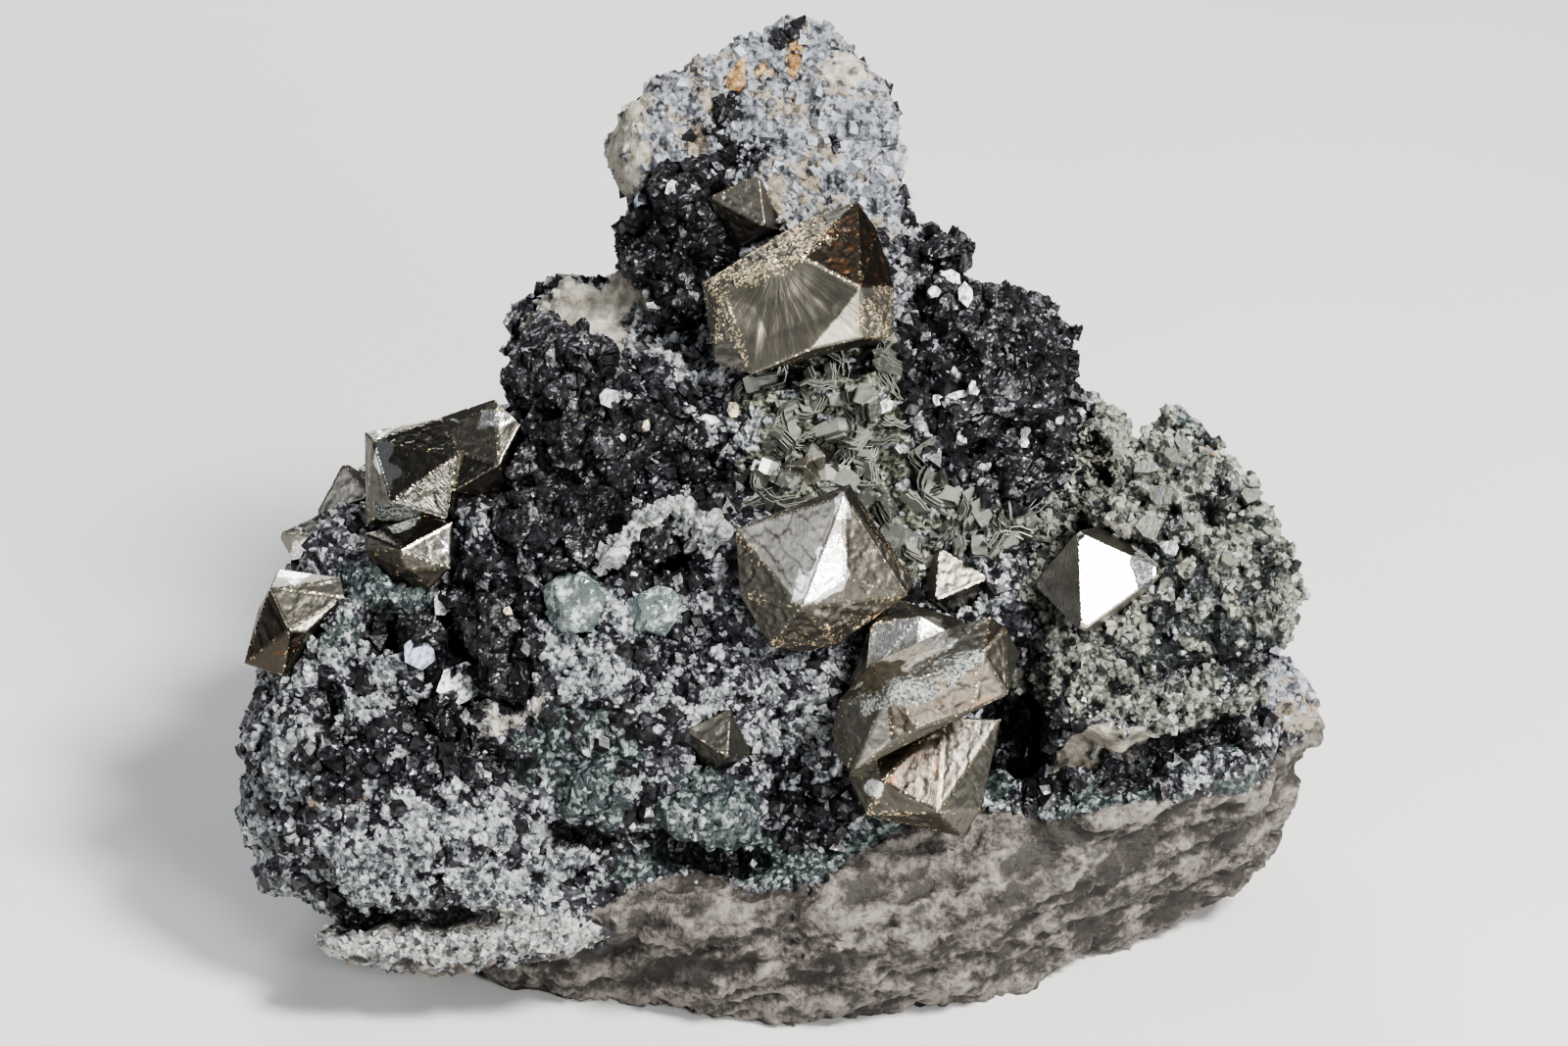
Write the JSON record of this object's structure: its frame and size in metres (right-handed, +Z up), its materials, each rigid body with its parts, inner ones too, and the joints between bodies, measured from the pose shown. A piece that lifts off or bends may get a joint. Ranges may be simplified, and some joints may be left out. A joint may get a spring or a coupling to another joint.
{
  "type": "pyrite crystal specimen",
  "caption": "Sharp metallic octahedra of pyrite with black magnetite crusts on a lump of pale granular rock, resting on its broken flat underside.",
  "frame": {"origin": "on the ground under the middle of the specimen's bounding box", "axes": "+Z up, +X to the right along the longest extent, -Y towards the viewer of the crystal face"},
  "size_m": [0.0816, 0.0562, 0.0625],
  "materials": {
    "host_rock": "rough and granular, grey and white with green",
    "pyrite": "mirror-bright to brown-tarnished metallic crystal faces",
    "magnetite": "black, glittering, part metallic",
    "calcite": "clear with frosted faces"
  },
  "bodies": {
    "root": {"host_rock": "host_rock", "pyrite_central": "pyrite", "pyrite_upper_broken": "pyrite", "pyrite_right_octahedron": "pyrite", "pyrite_front_group": "pyrite", "pyrite_left_group": "pyrite", "pyrite_left_tip": "pyrite", "pyrite_left_rear": "pyrite", "pyrite_small_lower": "pyrite", "pyrite_small_upper": "pyrite", "pyrite_dark_sliver": "pyrite", "pyrite_golden_grains": "pyrite", "magnetite_peak": "magnetite", "magnetite_left_ridge": "magnetite", "magnetite_lower_left": "magnetite", "magnetite_upper_left": "magnetite", "magnetite_upper_right": "magnetite", "magnetite_right_shoulder": "magnetite", "calcite_large": "calcite", "calcite_small": "calcite"}
  },
  "joints": []
}
